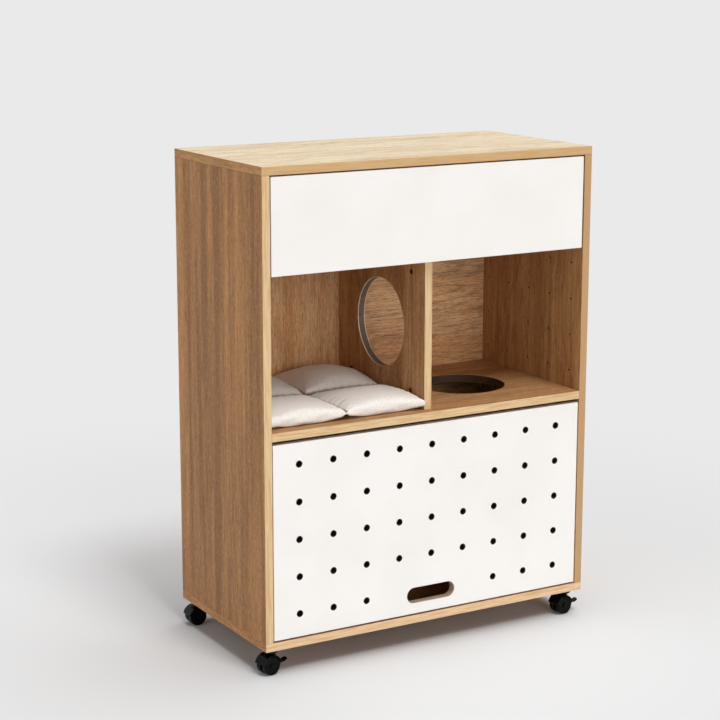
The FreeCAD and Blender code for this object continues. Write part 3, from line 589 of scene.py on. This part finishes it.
@dataclass
class Carcass:
    """The boards and their joinery."""

    shelf_passage: CutEdge = CutEdge(Axis.Z, (0.08, -0.13, 0.489), (0.31, 0.11, 0.529), "#3E2C20", "#5F4634",
                                     rim="#A98C6C", rim_width=1.2 * MM)
    divider_passage: CutEdge = CutEdge(Axis.X, (-0.02, -0.12, 0.57), (0.02, 0.12, 0.79), "#5A4A3C", "#7C6A58",
                                       rim="#F2EADC", rim_width=2.0 * MM)
    # Peg holes' walls near black: painted shade inside the holes.
    peg_holes: CutEdge = CutEdge(Axis.X, (0.3823, -0.17, 0.53), (0.3995, 0.17, 0.83), "#140B06", "#1C110A",
                                 blind=True)
    print_start: float = 0.37
    print_step: float = 0.83

    def boards(self) -> tuple[Board, ...]:
        """Lists the boards.

        Returns:
            The boards, in the order that moves their prints.
        """
        return (Board("top_panel", Axis.X, TOP_OAK), Board("bottom_panel", Axis.X, BASE_OAK),
                Board("left_side_panel", Axis.Z, LEFT_OAK),
                Board("right_side_panel", Axis.Z, RIGHT_OAK, (self.peg_holes,)),
                Board("middle_shelf", Axis.X, SHELF_OAK, (self.shelf_passage,)),
                Board("divider_panel", Axis.Z, BAY_OAK, (self.divider_passage,)),
                Board("drawer_deck", Axis.X, BAY_OAK), Board("back_panel_lower", Axis.X, BAY_OAK),
                Board("back_panel_left", Axis.Z, BACK_OAK), Board("back_panel_right", Axis.X, RIGHT_BACK_OAK),
                Board("back_panel_upper", Axis.X, BAY_OAK))

    def dress(self) -> None:
        """Gives each board and fitting its finish."""
        for number, board in enumerate(self.boards()):
            shift = self.print_start + self.print_step * number
            dress(board.node, board.print.material(board.node, board.grain, shift, board.cuts))
        zinc = ZINC.material()
        dress("cam_locks", BRONZED_ZINC.material())
        for node in ("cam_bolts", "base_screws", "back_screws", "runner_screws", "drawer_front_screws",
                     "caster_screws", "caster_kingpins"):
            dress(node, zinc)
        dress("dowels", BEECH.material())
        LOG.info("carcass dressed: %d boards", len(self.boards()))


@dataclass
class Fronts:
    """The perforated door and the drawer front, with what they hang on."""

    white: WhiteMelamine = WhiteMelamine()

    def dress(self) -> None:
        """Gives the fronts and their fittings their finishes."""
        # Vent holes' walls near black: painted shade inside the holes.
        vents = CutEdge(Axis.Y, (-0.36, -0.21, 0.090), (0.36, -0.17, 0.482), "#150D08", "#3A2819")
        slot = CutEdge(Axis.Y, (-0.064, -0.21, 0.096), (0.064, -0.17, 0.140), "#9C8169", "#CBB49A",
                       rim="#EADCCB", rim_width=1.2 * MM)
        dress("lower_door", self.white.material("door", (vents, slot)))
        dress("drawer_front", self.white.material("drawer"))
        steel, nylon = ZINC.material(), GREY_NYLON.material()
        for node in ("door_pivot_pins", "catch_strikes"):
            dress(node, steel)
        for node in ("door_pivot_bushes", "magnet_catches"):
            dress(node, nylon)
        board = DRAWER_BOARD.material()
        for node in ("drawer_side_left", "drawer_side_right", "drawer_back", "drawer_bottom"):
            dress(node, board)
        for side in ("left", "right"):
            for piece in ("rail", "stage", "slide"):
                dress(f"runner_{piece}_{side}", steel)
        LOG.info("fronts and drawer dressed")


@dataclass
class Casters:
    """Four twin-wheel casters, the front two with brakes."""

    def dress(self) -> None:
        """Gives the casters their finishes."""
        nylon, steel = BLACK_NYLON.material(), BLACK_STEEL.material()
        for name in CASTER_NAMES:
            dress("caster_plate_" + name, steel)
            dress("caster_axle_" + name, steel)
            for piece in ("hood_", "wheel_left_", "wheel_right_"):
                dress("caster_" + piece + name, nylon)
        for name in BRAKED_CASTERS:
            dress("brake_lever_" + name, nylon)
        LOG.info("casters dressed")


@dataclass(frozen=True)
class Puff:
    """Form of the filled squares in one row. Low steepness makes a full side, high makes a gentle one."""

    rise: float
    crown: float
    crest: float
    seam_steepness: float
    edge_steepness: float
    side_steepness: float

    @staticmethod
    def profile(place: float, crest: float, inner: float, outer: float) -> float:
        """Height from 0 to 1 on the way from a sewn seam to the cushion's edge.

        Args:
            place: Share of the way.
            crest: Where it is highest.
            inner: Steepness on the seam's side.
            outer: Steepness on the edge's side.

        Returns:
            The height.
        """
        rising = math.sin(math.pi / 2 * min(1.0, place / crest)) ** inner
        falling = math.sin(math.pi / 2 * min(1.0, max(0.0, 1 - place) / (1 - crest))) ** outer
        return rising * falling


@dataclass
class Cushion:
    """Quilted cushion: two sheets of canvas over a filling, joined all round and sewn along a cross."""

    left: float = -0.3800
    right: float = -0.0110
    front: float = -0.1775
    back: float = 0.1780
    floor: float = 0.5183
    seam_height: float = 15 * MM
    wall: float = 13 * MM
    wall_cells: int = 2
    stitch: float = 1 * MM
    front_puffs: Puff = Puff(20 * MM, 40 * MM, crest=0.6, seam_steepness=0.95, edge_steepness=0.36,
                             side_steepness=0.36)
    back_puffs: Puff = Puff(30 * MM, 54 * MM, crest=0.45, seam_steepness=0.5, edge_steepness=0.6,
                            side_steepness=0.62)
    under_drop: float = 8 * MM
    pucker: float = 2.0 * MM
    pucker_pitch: float = 17 * MM
    pucker_reach: float = 18 * MM
    ear: float = 0.03
    cells: int = 44
    pressure: float = 1.6
    slack: float = 0.01
    cap: float = 7 * MM
    frames: int = 24
    side_crest: float = 0.5
    cross_steepness: float = 0.6
    sewn_reach: float = 0.8
    pucker_start: float = 4 * MM
    corner_share: float = 0.97
    on_cross: float = 1e-5
    panel_face: float = -0.3817
    divider_face: float = -0.0093
    divider_front: float = -0.1805
    front_limit: float = -0.1900
    back_limit: float = 0.1817
    canvas: CottonCanvas = CottonCanvas()

    def half(self) -> tuple[float, float]:
        """Works out half the cushion's width and depth.

        Returns:
            Half the width and half the depth.
        """
        return (self.right - self.left) / 2, (self.back - self.front) / 2

    def middle(self) -> tuple[float, float]:
        """Works out the middle of the cushion.

        Returns:
            Its places along X and Y.
        """
        return (self.right + self.left) / 2, (self.back + self.front) / 2

    def gathers(self, across: float, along: float) -> float:
        """Height of the small folds that a seam's thread gathers.

        Args:
            across: Distance from the seam.
            along: Place along the seam.

        Returns:
            The height.
        """
        wander = 1.7 * math.sin(along * 61.0) + 1.1 * math.sin(along * 143.0 + 2.0)
        fold = math.sin(math.tau * along / self.pucker_pitch + wander)
        near = min(1.0, across / self.pucker_start)
        return self.pucker * fold * near * math.exp(-across / self.pucker_reach)

    def puff(self, u: float, v: float, under: bool) -> float:
        """Height of the unfilled sheet off the seams, where u and v run from -1 to 1.

        Args:
            u: Place over the width.
            v: Place over the depth.
            under: Whether the sheet is the lower one.

        Returns:
            The height.
        """
        half_x, half_y = self.half()
        row = self.front_puffs if v < 0 else self.back_puffs
        height = self.under_drop if under else row.rise
        shape = (row.profile(abs(v), row.crest, row.seam_steepness, row.edge_steepness)
                 * row.profile(abs(u), self.side_crest, self.cross_steepness, row.side_steepness))
        to_cross = min(half_x * abs(u), half_y * abs(v))
        sewn = min(1.0, to_cross / (self.wall * self.sewn_reach))
        return self.stitch + (self.wall / 2 - self.stitch) * sewn + height * shape

    def blank(self) -> bpy.types.Object:
        """Makes the sewn cover before filling.

        Returns:
            The cover.
        """
        bm = bmesh.new()
        flat = bm.loops.layers.uv.new(FLAT_CLOTH)
        seam = self.floor + self.seam_height
        for side in (1, -1):
            made = bmesh.ops.create_grid(bm, x_segments=self.cells * 2, y_segments=self.cells * 2, size=1.0)
            for vertex in made["verts"]:
                vertex.co.z = seam + side * self.puff(vertex.co.x, vertex.co.y, side < 0)
            if side < 0:
                faces = list({face for vertex in made["verts"] for face in vertex.link_faces})
                bmesh.ops.reverse_faces(bm, faces=faces)
        walls = bmesh.ops.bridge_loops(bm, edges=[edge for edge in bm.edges if edge.is_boundary])
        risers = [edge for edge in {e for face in walls["faces"] for e in face.edges}
                  if edge.verts[0].co.xy == edge.verts[1].co.xy]
        bmesh.ops.subdivide_edges(bm, edges=risers, cuts=self.wall_cells - 1, use_grid_fill=True)
        half_x, half_y = self.half()
        for vertex in bm.verts:
            ear = 1 + self.ear * abs(vertex.co.x * vertex.co.y) ** 9
            vertex.co.x *= half_x * ear
            vertex.co.y *= half_y * ear
        bmesh.ops.translate(bm, vec=(*self.middle(), 0.0), verts=bm.verts)
        bmesh.ops.recalc_face_normals(bm, faces=bm.faces)
        for face in bm.faces:
            for loop in face.loops:
                x, y, z = loop.vert.co
                # The wall's cloth lies a metre off, away from the seams.
                loop[flat].uv = (x, y) if abs(face.normal.z) > 0.3 else (x + y + 1, z + 1)
        return add_piece("cushion_quilted", bm)

    def pin(self, piece: bpy.types.Object) -> str:
        """Marks what the filling doesn't move: the sewn cross and the cushion's corners.

        Args:
            piece: The cover.

        Returns:
            Name of the vertex group.
        """
        held = []
        for vertex in piece.data.vertices:
            x, y = (abs(vertex.co[number] - self.middle()[number]) for number in (0, 1))
            corner = x > self.half()[0] * self.corner_share and y > self.half()[1] * self.corner_share
            if min(x, y) < self.on_cross or corner:
                held.append(vertex.index)
        group = piece.vertex_groups.new(name="sewn_down")
        group.add(held, 1.0, "REPLACE")
        return group.name

    def fill(self, piece: bpy.types.Object) -> None:
        """Fills the cover by a cloth simulation and keeps the result.

        Args:
            piece: The cover.
        """
        start = [v.co.copy() for v in piece.data.vertices]
        cloth = piece.modifiers.new("Filling", "CLOTH")
        settings = cloth.settings
        settings.quality = 7
        settings.mass = 0.3
        settings.tension_stiffness = 25
        settings.compression_stiffness = 8
        settings.shear_stiffness = 6
        settings.bending_stiffness = 0.1
        settings.shrink_min = -self.slack
        settings.vertex_group_mass = self.pin(piece)
        settings.use_pressure = True
        settings.uniform_pressure_force = self.pressure
        settings.effector_weights.gravity = 0.0
        cloth.point_cache.frame_end = 30
        scene = bpy.context.scene
        for number in range(1, self.frames + 1):
            scene.frame_set(number)
        depsgraph = bpy.context.evaluated_depsgraph_get()
        filled = bpy.data.meshes.new_from_object(piece.evaluated_get(depsgraph))
        for vertex, origin in zip(filled.vertices, start):
            move = vertex.co - origin
            if move.length > self.cap:
                vertex.co = origin + move.normalized() * self.cap
        piece.modifiers.remove(cloth)
        piece.data = filled
        scene.frame_set(1)

    def settle(self, piece: bpy.types.Object) -> None:
        """Sets the crowns' height, adds the gathers, and holds the cushion's points between its neighbours.

        Args:
            piece: The cushion.
        """
        seam = self.floor + self.seam_height
        for row, side in ((self.front_puffs, -1), (self.back_puffs, 1)):
            raised = [vertex for vertex in piece.data.vertices
                      if vertex.co.z > seam and (vertex.co.y - self.middle()[1]) * side > 0]
            growth = (row.crown - self.seam_height) / (max(vertex.co.z for vertex in raised) - seam)
            for vertex in raised:
                x, y = (vertex.co[number] - self.middle()[number] for number in (0, 1))
                to_side, to_edge = (self.half()[number] - abs((x, y)[number]) for number in (0, 1))
                folds = (self.gathers(min(abs(x), max(to_side, 0.0)), y + 3 * self.pucker_pitch * (x > 0))
                         + self.gathers(min(abs(y), max(to_edge, 0.0)), x + 5 * self.pucker_pitch * (y > 0)))
                vertex.co.z = seam + (vertex.co.z - seam) * growth + folds
        for vertex in piece.data.vertices:
            vertex.co.z = max(vertex.co.z, self.floor)
            vertex.co.x = max(vertex.co.x, self.panel_face)
            vertex.co.y = min(max(vertex.co.y, self.front_limit), self.back_limit)
            if vertex.co.y > self.divider_front:
                vertex.co.x = min(vertex.co.x, self.divider_face)

    def build(self) -> None:
        """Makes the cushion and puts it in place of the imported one."""
        piece = self.blank()
        self.fill(piece)
        self.settle(piece)
        smooth = piece.modifiers.new("Softness", "SUBSURF")
        smooth.levels = smooth.render_levels = 1
        for polygon in piece.data.polygons:
            polygon.use_smooth = True
        piece.data.materials.append(self.canvas.material(self.middle()))
        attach(piece, "cabinet")
        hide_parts("cushion")
        LOG.info("cushion: %d faces", len(piece.data.polygons))


@dataclass
class Studio:
    """Floor, lamps, world and camera."""

    floor_colour: str = "#DADADA"
    background: str = "#EAEAEA"
    fill: float = 0.20
    eye: tuple[float, float, float] = (-2.1278, -3.5367, 1.4862)
    heading: float = -30.306
    pitch: float = -12.235
    roll: float = 0.063
    lens: float = 96.67
    sensor: float = 36.0
    floor_half: float = 120.0
    fade_start: float = 0.9
    fade_end: float = 2.2
    sky: str = "#FBFCFF"

    def floor(self) -> None:
        """Makes the pale floor, which turns into the background far from the object."""
        bm = bmesh.new()
        bmesh.ops.create_grid(bm, x_segments=1, y_segments=1, size=self.floor_half)
        piece = add_piece("studio_floor", bm)
        material, tree = blank_material("studio_floor")
        coords = add_node(tree, "ShaderNodeTexCoord")
        reach = add_node(tree, "ShaderNodeVectorMath", {0: coords.outputs["Object"]}, operation="LENGTH")
        far = add_node(tree, "ShaderNodeMapRange", {0: reach.outputs["Value"], 1: self.fade_start,
                                                    2: self.fade_end, 3: 0.0, 4: 1.0},
                       interpolation_type="SMOOTHSTEP")
        seen = add_rays(tree, "Is Camera Ray", "Is Glossy Ray")
        share = add_math(tree, "MULTIPLY", far.outputs[0], seen)
        matt = add_node(tree, "ShaderNodeBsdfDiffuse", {"Color": linear(self.floor_colour)})
        glow = add_node(tree, "ShaderNodeEmission", {"Color": linear(self.background), "Strength": 1.0})
        blend = add_node(tree, "ShaderNodeMixShader", {0: share, 1: matt.outputs[0], 2: glow.outputs[0]})
        add_node(tree, "ShaderNodeOutputMaterial", {0: blend.outputs[0]})
        piece.data.materials.append(material)

    def world(self) -> None:
        """Makes the soft fill light, and the background that the camera and reflections see."""
        world = bpy.data.worlds.new("studio")
        world.use_nodes = True
        tree = world.node_tree
        tree.nodes.clear()
        seen = add_rays(tree, "Is Camera Ray", "Is Glossy Ray", "Is Transmission Ray")
        fill = add_node(tree, "ShaderNodeBackground", {"Color": linear(self.sky), "Strength": self.fill})
        shown = add_node(tree, "ShaderNodeBackground", {"Color": linear(self.background), "Strength": 1.0})
        blend = add_node(tree, "ShaderNodeMixShader", {0: seen, 1: fill.outputs[0], 2: shown.outputs[0]})
        add_node(tree, "ShaderNodeOutputWorld", {0: blend.outputs[0]})
        bpy.context.scene.world = world

    def lamp(self, name: str, towards: tuple[float, float, float], strength: float, spread: float) -> None:
        """Makes one far soft lamp.

        Args:
            name: Name of the lamp.
            towards: Way from the object to the lamp.
            strength: Light on a surface that faces it.
            spread: How wide it looks from the object, in degrees.
        """
        data = bpy.data.lights.new(name, "SUN")
        data.energy = strength * math.pi
        data.angle = math.radians(spread)
        lamp = bpy.data.objects.new(name, data)
        lamp.rotation_euler = Vector(towards).to_track_quat("Z", "Y").to_euler()
        bpy.context.scene.collection.objects.link(lamp)

    def lamps(self) -> None:
        """Makes the lamps: over the object, high and low before it, and a weak one at its left."""
        self.lamp("overhead", (0.16, 0.0, 0.98), 0.48, 44)
        self.lamp("front_high", (0.05, -0.50, 0.87), 0.42, 18)
        self.lamp("front_low", (0.0, -0.98, 0.14), 0.36, 34)
        self.lamp("left", (-0.92, -0.25, 0.30), 0.20, 60)

    def camera(self) -> None:
        """Makes the camera of the photograph's view."""
        data = bpy.data.cameras.new("photo_view")
        data.lens = self.lens
        data.sensor_width = self.sensor
        eye = bpy.data.objects.new("photo_view", data)
        turn = (Matrix.Rotation(math.radians(self.heading), 4, "Z")
                @ Matrix.Rotation(math.radians(90 + self.pitch), 4, "X")
                @ Matrix.Rotation(math.radians(self.roll), 4, "Z"))
        eye.matrix_world = Matrix.Translation(self.eye) @ turn
        bpy.context.scene.collection.objects.link(eye)
        bpy.context.scene.camera = eye

    def build(self) -> None:
        """Makes the whole studio."""
        self.camera()
        self.world()
        self.lamps()
        self.floor()
        bpy.context.scene.view_settings.view_transform = "Standard"
        LOG.info("studio ready")


def main() -> None:
    """Builds the pieces in order."""
    logging.basicConfig(level=logging.INFO, format="%(name)s: %(message)s")
    Studio().build()
    Carcass().dress()
    Fronts().dress()
    Casters().dress()
    Cushion().build()


if __name__ == "__main__":
    main()
